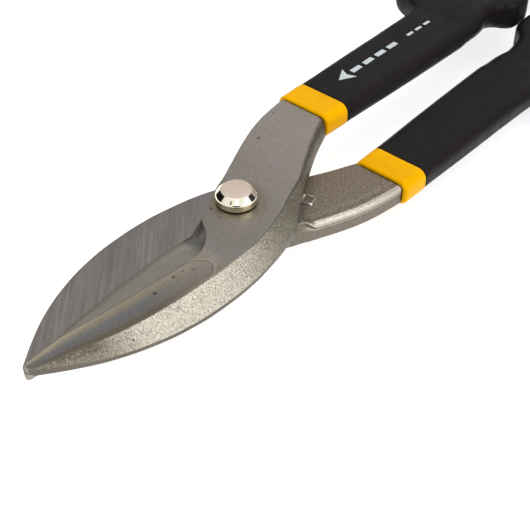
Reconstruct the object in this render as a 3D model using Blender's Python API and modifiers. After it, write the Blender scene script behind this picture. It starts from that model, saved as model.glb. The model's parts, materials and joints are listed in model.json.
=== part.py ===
"""Straight-pattern tin snips, 10 in (254 mm) class, drawn closed.

Two identical forgings, each one a blade, a pivot plate, an arm and a tang, are
crossed on one bolt.  Each tang is sleeved in a short collar and a long grip.

Frame: +X points to the grips, -X to the blade tips, +Z up.  The pivot axis is
the Z axis, and the origin is the centre of the bolt's lower end face.  The
forging whose grip lies at +Y is the upper one.  Turning a piece half a turn
about the long axis, at the shear plane's height, gives its lower twin.
"""

import math

import bmesh
import bpy
from mathutils import Matrix, Vector

MM = 0.001
COLLECTION = "tin_snips"
CUTTERS = "tin_snips_cutters"

# ---- driving dimensions, in millimetres -----------------------------------
TIP_X = -63.55             # blade tips
END_X = 190.7              # rounded ends of the grips
FORGING_HEIGHT = 6.95      # from the shear plane to a forging's outer face
FACE_GAP = 0.15            # half of the gap between the two blade faces
FIT = 0.3                  # gap between pieces that touch

BOLT_RADIUS = 3.0
HEAD_RADIUS = 5.0
HEAD_FLAT_RADIUS = 3.65
HEAD_RIM = 1.72            # height of the head's straight rim
HEAD_CHAMFER = 1.33        # height of the head's chamfer
TAIL_CHAMFER = 0.5
WASHER_RADIUS = 6.2
WASHER_HEIGHT = 1.2
NUT_FLATS = 10.0
NUT_HEIGHT = 3.8
COLLAR_HEIGHT = 1.6        # round collar of the nut, which holds the insert
COLLAR_RADIUS = 4.95
INSERT_RADIUS = 4.1
TAIL_LENGTH = 1.0          # bolt end that stands out of the nut

TANG_START = 39.0          # shoulder where a forging narrows to its tang
TANG_END = 178.3
TANG_HALF_HEIGHT = 2.3
TANG_CORNER = 1.0
BAND_START = 39.35         # collar that closes the front of a grip
BAND_END = 47.4
GRIP_START = 47.7
END_ROUND = 10.8           # length of the rounding at a grip's end

# ---- heights that follow ---------------------------------------------------
HOLE_RADIUS = BOLT_RADIUS + FIT
WASHER_TOP = -FORGING_HEIGHT - FIT
NUT_TOP = WASHER_TOP - WASHER_HEIGHT - FIT
COLLAR_TOP = NUT_TOP - NUT_HEIGHT
NUT_BOTTOM = COLLAR_TOP - COLLAR_HEIGHT
BOLT_BOTTOM = NUT_BOTTOM - TAIL_LENGTH
HEAD_UNDERSIDE = FORGING_HEIGHT + FIT
SHEAR_Z = -BOLT_BOTTOM     # height of the shear plane over the origin

# ---- outline of a forging: (x, value), seen from above ----------------------
BACK_EDGE = [(TIP_X, -0.8), (-63.3, -1.4), (-62.7, -2.2), (-61.8, -2.9), (-56.3, -6.8),
             (-50.1, -10.5), (-42.7, -13.7), (-34.3, -16.1), (-25.8, -17.3), (-18.9, -17.5),
             (-12.7, -17.2), (-6.1, -16.2), (0.0, -14.9), (6.4, -12.7), (11.7, -9.5),
             (17.1, -6.2), (24.7, -2.0), (31.8, 1.8), (TANG_START, 4.9)]
CUTTING_EDGE = [(TIP_X, 0.4), (-63.2, 0.9), (-62.5, 1.4), (-61.4, 1.8), (-53.8, 2.7),
                (-47.0, 3.7), (-38.1, 4.6), (-29.2, 5.2), (-20.0, 5.4), (-12.9, 5.0),
                (-10.8, 4.8), (-7.6, 6.1), (-4.3, 7.2), (0.0, 8.3), (5.4, 9.6),
                (10.7, 11.5), (14.9, 13.4), (20.1, 15.5), (25.6, 17.4), (32.0, 18.8),
                (TANG_START, 19.8)]
BEVEL_EDGE = [(TIP_X, 0.2), (-62.7, 0.45), (-55.0, 0.5), (-47.2, -0.7), (-39.7, -2.1),
              (-31.4, -3.5), (-23.0, -5.1), (-18.3, -5.8), (-16.5, -5.3), (-14.7, -4.2),
              (-13.0, -2.7), (-11.2, 0.0), (-10.0, 1.8), (-5.8, 3.6), (-0.8, 6.4),
              (5.4, 8.9), (9.8, 11.0), (14.6, 13.1), (19.5, 15.2), (24.7, 17.1),
              (30.5, 18.6), (TANG_START, 19.8)]
RIDGE = [(TIP_X, -0.6), (-63.3, -1.1), (-62.7, -1.7), (-61.8, -2.4), (-59.9, -3.3),
         (-54.3, -5.3), (-48.8, -7.7), (-42.8, -9.8), (-36.1, -11.5), (-28.3, -12.8),
         (-18.8, -13.7), (-10.7, -13.6), (-3.8, -12.5), (0.3, -11.4), (4.7, -10.0),
         (9.2, -8.1), (13.8, -6.4), (16.7, -5.4), (21.8, -2.8), (27.4, 0.1), (33.2, 2.9),
         (TANG_START, 5.4)]

# ---- heights of a forging over the shear plane: (x, value) -------------------
RIDGE_Z = [(TIP_X, 2.2), (-61.7, 2.4), (-10.0, FORGING_HEIGHT), (TANG_START, FORGING_HEIGHT)]
BEVEL_Z = [(TIP_X, 2.1), (-61.7, 2.2), (-20.0, 5.9), (-16.2, 6.8), (-10.0, FORGING_HEIGHT),
           (TANG_START, FORGING_HEIGHT)]
WALL_Z = [(TIP_X, 1.9), (-58.3, 1.6), (-50.0, 1.2), (0.0, 1.3), (10.0, 2.2), (16.7, 4.4),
          (TANG_START, 6.4)]
UNDERSIDE_Z = [(TIP_X, FACE_GAP), (10.8, FACE_GAP), (14.2, 1.7), (TANG_START, 1.7)]
UNDER_ROUND = [(TIP_X, 0.18), (10.8, 0.2), (15.8, 1.7), (TANG_START, 1.9)]
FULLER_DEPTH = [(TIP_X, 0.1), (-60.0, 0.4), (-50.0, 0.7), (-25.0, 0.8), (-18.8, 0.0),
                (TANG_START, 0.0)]
SCOOP_DEPTH = [(TIP_X, 0.0), (-20.0, 0.1), (-14.2, 1.1), (-9.2, 0.9), (-2.5, 0.2),
               (TANG_START, 0.1)]

# ---- tang and grip of the upper half: (x, value) ------------------------------
TANG_Y = [(TANG_START, 12.85), (94.0, 12.5), (108.0, 14.8), (125.0, 15.5), (145.0, 18.8),
          (TANG_END, 19.6)]
TANG_HALF_WIDTH = [(TANG_START, 6.8), (90.0, 6.8), (106.0, 5.3), (TANG_END, 4.5)]
TANG_Z = [(TANG_START, 4.3), (104.0, 4.3), (125.0, 2.9), (142.0, 1.0), (154.0, 0.0),
          (TANG_END, 0.0)]
GRIP_INNER = [(BAND_START, 4.5), (106.0, 2.8), (109.2, 3.1), (112.4, 4.0), (117.2, 4.2),
              (119.8, 3.2), (121.6, 1.4), (123.0, 0.5), (124.6, 0.15), (128.5, 0.15),
              (131.5, 1.2), (136.7, 3.8), (143.0, 6.8), (150.0, 8.4), (166.0, 9.2),
              (180.0, 9.0), (END_X, 9.7)]
GRIP_OUTER = [(BAND_START, 21.4), (95.0, 22.2), (100.2, 22.6), (102.0, 24.0), (103.3, 26.4),
              (104.4, 29.4), (105.8, 31.8), (108.0, 33.1), (111.5, 32.4), (116.0, 30.3),
              (126.0, 28.6), (146.0, 30.3), (166.0, 30.3), (178.0, 31.3), (END_X, 32.0)]
GRIP_BOTTOM = [(BAND_START, 0.75), (108.0, 0.75), (113.0, 0.5), (119.0, -1.0), (125.0, -2.2),
               (131.0, -2.8), (142.0, -4.8), (154.0, -6.4), (END_X, -6.4)]
GRIP_TOP = [(BAND_START, 7.75), (100.5, 7.75), (106.0, 8.3), (111.0, 8.5), (118.0, 8.1),
            (128.0, 7.6), (145.0, 7.0), (154.0, 6.6), (END_X, 6.4)]
GRIP_CORNER = [(BAND_START, 2.7), (98.0, 2.8), (103.0, 3.6), (108.0, 3.6), (118.0, 2.6),
               (128.0, 3.0), (142.0, 4.6), (154.0, 5.6), (END_X, 5.6)]


def through(points):
    """A smooth curve through (x, value) points that never overshoots them."""
    xs = [point[0] for point in points]
    ys = [point[1] for point in points]
    slopes = [(ys[i + 1] - ys[i]) / (xs[i + 1] - xs[i]) for i in range(len(xs) - 1)]
    tangents = [slopes[0]]
    for before, after in zip(slopes, slopes[1:]):
        if before * after <= 0:
            tangents.append(0.0)
        else:
            tangents.append(2 * before * after / (before + after))
    tangents.append(slopes[-1])

    def value(x):
        i = 0
        while i < len(xs) - 2 and x > xs[i + 1]:
            i += 1
        step = xs[i + 1] - xs[i]
        t = min(max((x - xs[i]) / step, 0.0), 1.0)
        start = (1 + 2 * t) * (1 - t) ** 2 * ys[i] + t * (1 - t) ** 2 * step * tangents[i]
        end = t * t * (3 - 2 * t) * ys[i + 1] + t * t * (t - 1) * step * tangents[i + 1]
        return start + end

    return value


back_edge = through(BACK_EDGE)
cutting_edge = through(CUTTING_EDGE)
bevel_edge = through(BEVEL_EDGE)
ridge = through(RIDGE)
ridge_z = through(RIDGE_Z)
bevel_z = through(BEVEL_Z)
wall_z = through(WALL_Z)
underside_z = through(UNDERSIDE_Z)
under_round = through(UNDER_ROUND)
fuller_depth = through(FULLER_DEPTH)
scoop_depth = through(SCOOP_DEPTH)
tang_y = through(TANG_Y)
tang_half_width = through(TANG_HALF_WIDTH)
tang_z = through(TANG_Z)
grip_inner = through(GRIP_INNER)
grip_outer = through(GRIP_OUTER)
grip_bottom = through(GRIP_BOTTOM)
grip_top = through(GRIP_TOP)
grip_corner = through(GRIP_CORNER)


def spaced(start, end, step):
    """Evenly spaced values from start to end, no further apart than step."""
    count = max(1, math.ceil((end - start) / step))
    return [start + (end - start) * i / count for i in range(count + 1)]


def mix(a, b, t):
    return a + (b - a) * t


def rounded_section(x, middle, half_width, half_height, corner):
    """Sixteen points round a rounded rectangle that stands across the X axis."""
    corner = min(corner, half_width, half_height)
    ring = []
    for turn in range(4):
        side_y = (1, 1, -1, -1)[turn]
        side_z = (-1, 1, 1, -1)[turn]
        for part in range(4):
            angle = math.radians(-90 + 90 * turn + 30 * part)
            y = side_y * (half_width - corner) + corner * math.cos(angle)
            z = side_z * (half_height - corner) + corner * math.sin(angle)
            ring.append(Vector((x, middle[0] + y, middle[1] + z)))
    return ring


def forging_section(x):
    """Sixteen points across a forging, from its cutting edge round to its back."""
    front, back = cutting_edge(x), back_edge(x)
    bevel, bevel_top = bevel_edge(x), bevel_z(x)
    crest, crest_top = ridge(x), ridge_z(x)
    under, radius = underside_z(x), under_round(x)
    low = under + radius
    hollow, groove = scoop_depth(x), fuller_depth(x)
    points = [
        (front - radius, under),
        (front - 0.5 * radius, under + 0.13 * radius),
        (front - 0.13 * radius, under + 0.5 * radius),
        (front, low),
        (mix(front, bevel, 0.5) - hollow, mix(low, bevel_top, 0.5) - 0.5 * hollow),
        (mix(front, bevel, 0.85) - 0.5 * hollow, mix(low, bevel_top, 0.85) - 0.3 * hollow),
        (bevel, bevel_top),
        (mix(bevel, crest, 0.3), mix(bevel_top, crest_top, 0.3) - groove),
        (mix(bevel, crest, 0.7), mix(bevel_top, crest_top, 0.7) - groove),
        (crest, crest_top),
        (mix(crest, back, 0.5), mix(crest_top, wall_z(x), 0.47)),
        (back, wall_z(x)),
        (back, low),
        (back + 0.13 * radius, under + 0.5 * radius),
        (back + 0.5 * radius, under + 0.13 * radius),
        (back + radius, under),
    ]
    return [Vector((x, y, z)) for y, z in points]


def tang_section(x, extra=0.0):
    middle = (tang_y(x), tang_z(x))
    half_width = tang_half_width(x) + extra
    return rounded_section(x, middle, half_width, TANG_HALF_HEIGHT + extra, TANG_CORNER + extra)


def grip_section(x, size=1.0):
    """Outer skin of a grip; size below 1 shrinks it towards its middle."""
    middle = ((grip_inner(x) + grip_outer(x)) / 2, (grip_bottom(x) + grip_top(x)) / 2)
    half_width = (grip_outer(x) - grip_inner(x)) / 2 * size
    half_height = (grip_top(x) - grip_bottom(x)) / 2 * size
    return rounded_section(x, middle, half_width, half_height, grip_corner(x) * size)


def wipe_scene():
    for thing in list(bpy.data.objects):
        bpy.data.objects.remove(thing)


def new_collection(name):
    group = bpy.data.collections.new(name)
    bpy.context.scene.collection.children.link(group)
    return group


def finish_material(name, colour, roughness, metallic):
    material = bpy.data.materials.new(name)
    material.use_nodes = True
    shader = material.node_tree.nodes["Principled BSDF"]
    shader.inputs["Base Color"].default_value = (*colour, 1.0)
    shader.inputs["Roughness"].default_value = roughness
    shader.inputs["Metallic"].default_value = metallic
    material.diffuse_color = (*colour, 1.0)
    return material


def skin(name, loops, closed):
    """A mesh lofted through rings of equally many points.

    A closed skin joins its last ring to its first, and an open one is capped.
    """
    mesh = bpy.data.meshes.new(name)
    work = bmesh.new()
    rings = [[work.verts.new(point * MM) for point in loop] for loop in loops]
    pairs = list(zip(rings, rings[1:]))
    if closed:
        pairs.append((rings[-1], rings[0]))
    for one, two in pairs:
        for i in range(len(one)):
            j = (i + 1) % len(one)
            work.faces.new((one[i], one[j], two[j], two[i]))
    if not closed:
        work.faces.new(rings[0])
        work.faces.new(rings[-1])
    bmesh.ops.triangulate(work, faces=work.faces)
    bmesh.ops.recalc_face_normals(work, faces=work.faces)
    work.to_mesh(mesh)
    work.free()
    mesh.shade_smooth()
    mesh.set_sharp_from_angle(angle=math.radians(35))
    return mesh


def place(name, mesh, material, group, lower=False):
    """An object on the shear plane; a lower one is turned over about the X axis."""
    mesh.materials.clear()
    mesh.materials.append(material)
    thing = bpy.data.objects.new(name, mesh)
    thing.location = (0.0, 0.0, SHEAR_Z * MM)
    if lower:
        thing.rotation_euler = (math.pi, 0.0, 0.0)
    group.objects.link(thing)
    return thing


def turned(name, profile, steps, group):
    """A solid turned about the pivot axis from (radius, height) points, top to bottom."""
    work = bmesh.new()
    points = [work.verts.new((radius * MM, 0.0, z * MM)) for radius, z in profile]
    for one, two in zip(points, points[1:]):
        work.edges.new((one, two))
    mesh = bpy.data.meshes.new(name)
    work.to_mesh(mesh)
    work.free()
    thing = bpy.data.objects.new(name, mesh)
    thing.location = (0.0, 0.0, SHEAR_Z * MM)
    group.objects.link(thing)
    screw = thing.modifiers.new("turn", "SCREW")
    screw.steps = steps
    screw.render_steps = steps
    screw.use_merge_vertices = True
    screw.merge_threshold = 0.00001
    screw.use_smooth_shade = True
    return thing


def turned_ring(name, outer, inner, top, bottom, bevel, steps, group):
    """A flat ring with its outer corners broken, as a turned solid."""
    profile = [(inner, top), (outer - bevel, top), (outer, top - bevel), (outer, bottom + bevel),
               (outer - bevel, bottom), (inner, bottom), (inner, top)]
    return turned(name, profile, steps, group)


def hide_cutter(cutter):
    cutter.hide_render = True
    cutter.display_type = "WIRE"


def cylinder(name, radius, top, bottom, sides, group):
    work = bmesh.new()
    bmesh.ops.create_cone(work, cap_ends=True, segments=sides, radius1=radius * MM,
                          radius2=radius * MM, depth=(top - bottom) * MM)
    mesh = bpy.data.meshes.new(name)
    work.to_mesh(mesh)
    work.free()
    thing = bpy.data.objects.new(name, mesh)
    thing.location = (0.0, 0.0, (SHEAR_Z + (top + bottom) / 2) * MM)
    group.objects.link(thing)
    return thing


def boolean(thing, cutter, operation):
    cut = thing.modifiers.new(operation.lower(), "BOOLEAN")
    cut.operation = operation
    cut.solver = "EXACT"
    cut.object = cutter


def tang_stations(start):
    return spaced(start, 90.0, 17.0) + spaced(94.0, 126.0, 4.0) + spaced(132.0, TANG_END, 8.0)


def make_forgings(group, cutters):
    """Both blades, drilled for the bolt."""
    blade = spaced(TIP_X, -61.3, 0.5) + spaced(-60.0, -21.5, 2.75) + spaced(-20.0, -7.0, 1.3)
    plate_and_arm = spaced(-4.5, 10.5, 2.5) + spaced(11.2, 16.0, 1.2) + spaced(18.5, 38.8, 3.4)
    loops = [forging_section(x) for x in blade + plate_and_arm]
    loops += [tang_section(x) for x in tang_stations(TANG_START)]
    mesh = skin("forging", loops, closed=False)
    steel = finish_material("forged_steel", (0.42, 0.39, 0.35), 0.42, 1.0)
    hole = cylinder("pivot_hole", HOLE_RADIUS, FORGING_HEIGHT + 2, -FORGING_HEIGHT - 2, 48, cutters)
    hide_cutter(hole)
    for name, lower in (("upper_half", False), ("lower_half", True)):
        half = place(name, mesh, steel, group, lower)
        boolean(half, hole, "DIFFERENCE")


def make_bolt(group):
    """Round-headed pivot bolt with a chamfered head."""
    top = HEAD_UNDERSIDE + HEAD_RIM + HEAD_CHAMFER
    profile = [(0.0, top), (HEAD_FLAT_RADIUS, top), (HEAD_RADIUS, HEAD_UNDERSIDE + HEAD_RIM),
               (HEAD_RADIUS, HEAD_UNDERSIDE), (BOLT_RADIUS, HEAD_UNDERSIDE),
               (BOLT_RADIUS, BOLT_BOTTOM + TAIL_CHAMFER),
               (BOLT_RADIUS - TAIL_CHAMFER, BOLT_BOTTOM), (0.0, BOLT_BOTTOM)]
    bolt = turned("pivot_bolt", profile, 48, group)
    bolt.data.materials.append(finish_material("polished_nickel", (0.72, 0.66, 0.58), 0.15, 1.0))


def make_washer(group):
    washer = turned_ring("pivot_washer", WASHER_RADIUS, HOLE_RADIUS, WASHER_TOP,
                         WASHER_TOP - WASHER_HEIGHT, 0.2, 40, group)
    washer.data.materials.append(finish_material("zinc_washer", (0.55, 0.54, 0.50), 0.35, 1.0))


def make_nut(group, cutters):
    """Lock nut: a chamfered hexagon with a round collar round its nylon insert."""
    corner = NUT_FLATS / 2 / math.cos(math.radians(30))
    nut = cylinder("lock_nut", corner, NUT_TOP, COLLAR_TOP, 6, group)
    nut.data.materials.append(finish_material("zinc_nut", (0.58, 0.56, 0.52), 0.3, 1.0))
    chamfer = 0.6
    blank = turned("nut_blank", [(0.0, NUT_TOP), (corner - chamfer, NUT_TOP),
                                 (corner, NUT_TOP - 0.5 * chamfer),
                                 (corner, COLLAR_TOP + 0.5 * chamfer),
                                 (corner - chamfer, COLLAR_TOP), (0.0, COLLAR_TOP)], 48, cutters)
    lip = 0.3
    collar = turned("nut_collar", [(0.0, COLLAR_TOP + 0.2), (COLLAR_RADIUS, COLLAR_TOP + 0.2),
                                   (COLLAR_RADIUS, NUT_BOTTOM + lip),
                                   (COLLAR_RADIUS - lip, NUT_BOTTOM), (0.0, NUT_BOTTOM)],
                    40, cutters)
    bore = cylinder("nut_bore", HOLE_RADIUS, NUT_TOP + 1, NUT_BOTTOM - 1, 48, cutters)
    seat = cylinder("insert_seat", INSERT_RADIUS + FIT, COLLAR_TOP, NUT_BOTTOM - 1, 40, cutters)
    for cutter in (blank, collar, bore, seat):
        hide_cutter(cutter)
    boolean(nut, blank, "INTERSECT")
    boolean(nut, collar, "UNION")
    boolean(nut, seat, "DIFFERENCE")
    boolean(nut, bore, "DIFFERENCE")


def make_insert(group):
    """Nylon ring that grips the thread."""
    insert = turned_ring("nut_insert", INSERT_RADIUS, HOLE_RADIUS, COLLAR_TOP - FIT,
                         NUT_BOTTOM + 0.2, 0.1, 40, group)
    insert.data.materials.append(finish_material("nylon", (0.75, 0.74, 0.70), 0.5, 0.0))


def make_bands(group):
    """Short bright collars in front of the grips."""
    outside = [grip_section(x) for x in (BAND_START, BAND_END)]
    inside = [tang_section(x, FIT) for x in (BAND_END, BAND_START)]
    mesh = skin("band", outside + inside, closed=True)
    yellow = finish_material("yellow_vinyl", (0.93, 0.48, 0.01), 0.4, 0.0)
    place("upper_grip_band", mesh, yellow, group)
    place("lower_grip_band", mesh, yellow, group, lower=True)


def make_grips(group):
    """Long sleeves with a finger guard, a closing stop and a rounded end."""
    front = spaced(GRIP_START, 93.0, 15.2) + spaced(96.0, 98.0, 1.0) + spaced(99.0, 104.0, 1.0)
    hand = spaced(105.5, 135.0, 1.9) + spaced(138.5, END_X - END_ROUND - 4.0, 4.7)
    outside = [grip_section(x) for x in front + hand]
    round_start = END_X - END_ROUND
    for i in range(8):
        angle = math.radians(11.5 * i)
        outside.append(grip_section(round_start + END_ROUND * math.sin(angle), math.cos(angle)))
    inside = [tang_section(x, FIT) for x in tang_stations(GRIP_START)]
    inside.append(tang_section(TANG_END + FIT, FIT))
    mesh = bpy.data.meshes.new("grip")
    work = bmesh.new()
    for loops in (outside, inside):
        rings = [[work.verts.new(point * MM) for point in loop] for loop in loops]
        for one, two in zip(rings, rings[1:]):
            for i in range(16):
                work.faces.new((one[i], one[(i + 1) % 16], two[(i + 1) % 16], two[i]))
        work.faces.new(rings[-1])
    work.verts.ensure_lookup_table()
    inner_start = 16 * len(outside)
    for i in range(16):
        j = (i + 1) % 16
        work.faces.new((work.verts[i], work.verts[j], work.verts[inner_start + j],
                        work.verts[inner_start + i]))
    bmesh.ops.triangulate(work, faces=work.faces)
    bmesh.ops.recalc_face_normals(work, faces=work.faces)
    work.to_mesh(mesh)
    work.free()
    mesh.shade_smooth()
    mesh.set_sharp_from_angle(angle=math.radians(35))
    black = finish_material("black_vinyl", (0.022, 0.021, 0.021), 0.5, 0.0)
    place("upper_grip", mesh, black, group)
    place("lower_grip", mesh, black, group, lower=True)


def main():
    wipe_scene()
    group = new_collection(COLLECTION)
    cutters = new_collection(CUTTERS)
    make_forgings(group, cutters)
    make_bolt(group)
    make_washer(group)
    make_nut(group, cutters)
    make_insert(group)
    make_bands(group)
    make_grips(group)


main()
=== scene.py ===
"""Looks of the straight-pattern tin snips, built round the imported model.

Every shape here repeats the design of the forgings, grips and bolt at a finer grain.
Lengths in the tables are millimetres: X runs from the blade tips to the grips, Y
across, and Z up from the shear plane.  The lower half is the upper one turned over.
"""

import json
import math

import bpy
from mathutils import Euler, Matrix, Vector, noise


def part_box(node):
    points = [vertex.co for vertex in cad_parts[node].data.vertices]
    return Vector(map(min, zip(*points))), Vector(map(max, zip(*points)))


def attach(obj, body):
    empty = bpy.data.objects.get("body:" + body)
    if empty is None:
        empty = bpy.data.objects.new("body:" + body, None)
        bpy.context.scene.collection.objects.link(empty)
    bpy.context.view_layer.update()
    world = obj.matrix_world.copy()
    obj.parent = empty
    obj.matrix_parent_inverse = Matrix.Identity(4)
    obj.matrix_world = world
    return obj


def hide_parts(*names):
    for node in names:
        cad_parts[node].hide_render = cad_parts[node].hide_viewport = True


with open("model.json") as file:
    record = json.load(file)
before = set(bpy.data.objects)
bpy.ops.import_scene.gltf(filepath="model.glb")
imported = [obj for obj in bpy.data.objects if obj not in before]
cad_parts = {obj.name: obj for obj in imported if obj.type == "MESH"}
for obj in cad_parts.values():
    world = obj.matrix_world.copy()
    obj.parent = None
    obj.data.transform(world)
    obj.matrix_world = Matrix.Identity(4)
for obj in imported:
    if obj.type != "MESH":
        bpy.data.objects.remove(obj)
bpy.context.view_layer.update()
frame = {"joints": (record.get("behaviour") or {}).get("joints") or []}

MM = 0.001
SHEAR_Z = frame["joints"][0]["pos_m"][2] / MM
UPPER, LOWER = "upper", "lower"

# ---- view ----
VIEW_FROM = Vector((-0.14225, -0.13460, 0.17905))
VIEW_ALONG = Vector((0.5553, 0.4911, -0.6711))
LENS = 73.19

# ---- light ----
# The tent's brightness: (height, tone), from the nadir at 0 to the zenith at 1.
TENT = [(0.0, 0.42), (0.12, 0.38), (0.25, 0.42), (0.45, 0.65), (0.58, 0.70), (0.7, 0.52),
        (1.0, 0.55)]
NEAR_LEVEL = 1.0
NEAR_HEIGHT = 40.0
# Panels in the tent: (turn from the camera's bearing, height, reach, tone), in degrees.
FLAGS = [(-114.0, 20.0, 23.0, 0.01), (103.0, 25.0, 13.0, 0.04), (0.0, 20.0, 17.0, 0.02),
         (-36.0, 47.0, 3.0, 0.08), (4.0, 50.0, 6.0, 1.9)]
# Soft lamps: (name, place, aim, side length, power), in metres and watts.
LAMPS = [("overhead", (0.1, 0.0, 1.1), (0.02, 0.0, 0.0), 1.2, 5.0),
         ("right_side", (0.2, -1.0, 0.5), (0.0, 0.0, 0.0), 0.8, 4.0)]
FLOOR_GLOW = 0.78

# ---- sizes, in millimetres ----
TIP_X = -63.55
TANG_START = 39.0
TANG_END = 178.3
TANG_HALF_HEIGHT = 2.3
TANG_CORNER = 1.0
FORGING_HEIGHT = 6.95
FACE_GAP = 0.15
FIT = 0.3
BAND_START = 39.35
BAND_END = 47.4
GRIP_START = 47.7
END_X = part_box("upper_grip")[1].x / MM
END_ROUND = 10.8

BOLT_RADIUS = 3.0
THREAD_PITCH = 1.0
THREAD_DEPTH = 0.3
THREAD_RUN_IN = 0.8
BOLT_END_TAPER = 0.5
HOLE_RADIUS = BOLT_RADIUS + FIT
HEAD_RADIUS = 5.0
HEAD_FLAT_RADIUS = 3.65
HEAD_UNDERSIDE = FORGING_HEIGHT + FIT
HEAD_RIM = 1.72
HEAD_CHAMFER = 1.33
HEAD_TOP = HEAD_UNDERSIDE + HEAD_RIM + HEAD_CHAMFER
WASHER_RADIUS = 6.2
WASHER_TOP = -FORGING_HEIGHT - FIT
WASHER_HEIGHT = 1.2
NUT_TOP = WASHER_TOP - WASHER_HEIGHT - FIT
NUT_FLATS = 10.0
NUT_POINTS = NUT_FLATS / 2 / math.cos(math.radians(30))
NUT_POINT_LIMIT = 5.66
NUT_CHAMFER = 0.6
NUT_CHAMFER_HEIGHT = 0.3
NUT_HEIGHT = 3.8
COLLAR_TOP = NUT_TOP - NUT_HEIGHT
COLLAR_HEIGHT = 1.6
COLLAR_RADIUS = 4.95
COLLAR_ROUND = 0.55
INSERT_RADIUS = 4.1
NUT_BOTTOM = COLLAR_TOP - COLLAR_HEIGHT
BOLT_BOTTOM = -SHEAR_Z


def through(points):
    """A smooth curve through (x, value) points that never overshoots them."""
    xs = [point[0] for point in points]
    ys = [point[1] for point in points]
    slopes = [(ys[i + 1] - ys[i]) / (xs[i + 1] - xs[i]) for i in range(len(xs) - 1)]
    tangents = [slopes[0]]
    for before, after in zip(slopes, slopes[1:]):
        if before * after <= 0:
            tangents.append(0.0)
        else:
            tangents.append(2 * before * after / (before + after))
    tangents.append(slopes[-1])

    def value(x):
        i = 0
        while i < len(xs) - 2 and x > xs[i + 1]:
            i += 1
        step = xs[i + 1] - xs[i]
        t = min(max((x - xs[i]) / step, 0.0), 1.0)
        start = (1 + 2 * t) * (1 - t) ** 2 * ys[i] + t * (1 - t) ** 2 * step * tangents[i]
        end = t * t * (3 - 2 * t) * ys[i + 1] + t * t * (t - 1) * step * tangents[i + 1]
        return start + end

    return value


# ---- outline of a forging: (x, value) ----
back_edge = through([
    (TIP_X, -0.8), (-63.3, -1.4), (-62.7, -2.2), (-61.8, -2.9), (-56.3, -6.8), (-50.1, -10.5),
    (-42.7, -13.7), (-34.3, -16.1), (-25.8, -17.3), (-18.9, -17.5), (-12.7, -17.2), (-6.1, -16.2),
    (0.0, -14.9), (6.4, -12.7), (11.7, -9.5), (17.1, -6.2), (24.7, -2.0), (31.8, 1.8),
    (TANG_START, 4.9)])
cutting_edge = through([
    (TIP_X, 0.4), (-63.2, 0.9), (-62.5, 1.4), (-61.4, 1.8), (-53.8, 2.7), (-47.0, 3.7),
    (-38.1, 4.6), (-29.2, 5.2), (-20.0, 5.4), (-12.9, 5.0), (-10.8, 4.8), (-7.6, 6.1), (-4.3, 7.2),
    (0.0, 8.3), (5.4, 9.6), (10.7, 11.5), (14.9, 13.4), (20.1, 15.5), (25.6, 17.4), (32.0, 18.8),
    (TANG_START, 19.8)])
bevel_edge = through([
    (TIP_X, 0.2), (-62.7, 0.45), (-55.0, 0.5), (-47.2, -0.7), (-39.7, -2.1), (-31.4, -3.5),
    (-23.0, -5.1), (-18.3, -5.8), (-16.5, -5.3), (-14.7, -4.2), (-13.0, -2.7), (-11.2, 0.0),
    (-10.0, 1.8), (-5.8, 3.6), (-0.8, 6.4), (5.4, 8.9), (9.8, 11.0), (14.6, 13.1), (19.5, 15.2),
    (24.7, 17.1), (30.5, 18.6), (TANG_START, 19.8)])
ridge = through([
    (TIP_X, -0.6), (-63.3, -1.1), (-62.7, -1.7), (-61.8, -2.4), (-59.9, -3.3), (-54.3, -5.3),
    (-48.8, -7.7), (-42.8, -9.8), (-36.1, -11.5), (-28.3, -12.8), (-18.8, -13.7), (-10.7, -13.6),
    (-3.8, -12.5), (0.3, -11.4), (4.7, -10.0), (9.2, -8.1), (13.8, -6.4), (16.7, -5.4),
    (21.8, -2.8), (27.4, 0.1), (33.2, 2.9), (TANG_START, 5.4)])

# ---- heights of a forging over the shear plane: (x, value) ----
ridge_z = through([
    (TIP_X, 2.2), (-61.7, 2.4), (-10.0, FORGING_HEIGHT), (TANG_START, FORGING_HEIGHT)])
bevel_z = through([
    (TIP_X, 2.1), (-61.7, 2.2), (-20.0, 5.9), (-16.2, 6.8), (-10.0, FORGING_HEIGHT),
    (TANG_START, FORGING_HEIGHT)])
wall_z = through([
    (TIP_X, 1.9), (-58.3, 1.6), (-50.0, 1.2), (0.0, 1.3), (10.0, 2.2), (16.7, 4.4),
    (TANG_START, 6.4)])
underside_z = through([(TIP_X, FACE_GAP), (10.8, FACE_GAP), (14.2, 1.7), (TANG_START, 1.7)])
under_round = through([(TIP_X, 0.1), (10.8, 0.2), (14.5, 1.5), (TANG_START, 1.6)])
fuller_depth = through([
    (TIP_X, 0.05), (-60.0, 0.12), (-50.0, 0.22), (-25.0, 0.2), (-18.8, 0.12), (TANG_START, 0.1)])
scoop_depth = through([
    (TIP_X, 0.0), (-16.5, 0.0), (-13.5, 0.25), (-10.0, 0.7), (-6.5, 0.5), (-3.5, 0.1),
    (TANG_START, 0.0)])
edge_round = through([
    (TIP_X, 0.15), (-20.0, 0.2), (5.0, 0.4), (14.0, 0.9), (24.0, 2.0), (TANG_START, 2.7)])
facet_rise = through([(TIP_X, 0.02), (-55.0, 0.12), (-19.0, 0.16), (-15.0, 0.0), (TANG_START, 0.0)])

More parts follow.
